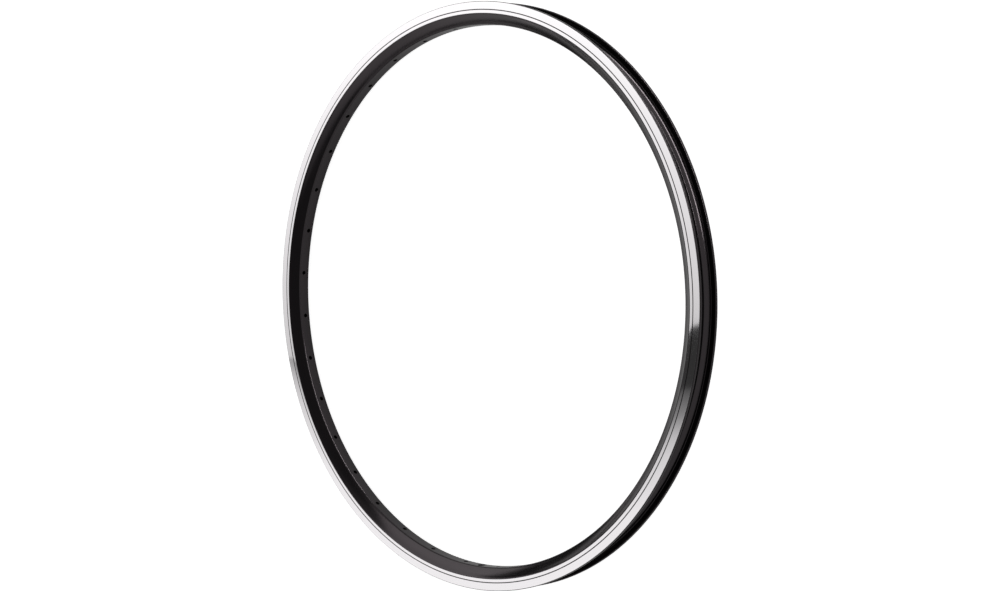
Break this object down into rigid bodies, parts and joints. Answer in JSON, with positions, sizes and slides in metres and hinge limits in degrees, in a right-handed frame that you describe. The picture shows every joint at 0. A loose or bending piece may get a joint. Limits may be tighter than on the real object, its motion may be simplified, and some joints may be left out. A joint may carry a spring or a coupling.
{
  "type": "bicycle rim",
  "caption": "Hoop-shaped bicycle rim with a hollow section, hooked tyre channel, machined brake tracks, drilled spoke bed and valve hole; it joins tyre and spokes.",
  "frame": {"origin": "centre of the hoop, on its axis and middle plane", "axes": "+Z along the axis of the wheel, with the rim lying flat; the valve hole points to -Y"},
  "size_m": [0.571, 0.571, 0.025],
  "materials": {
    "anodised_aluminium": "black satin anodised, with bare machined brake tracks"
  },
  "bodies": {
    "root": {"rim": "anodised_aluminium"}
  },
  "joints": []
}
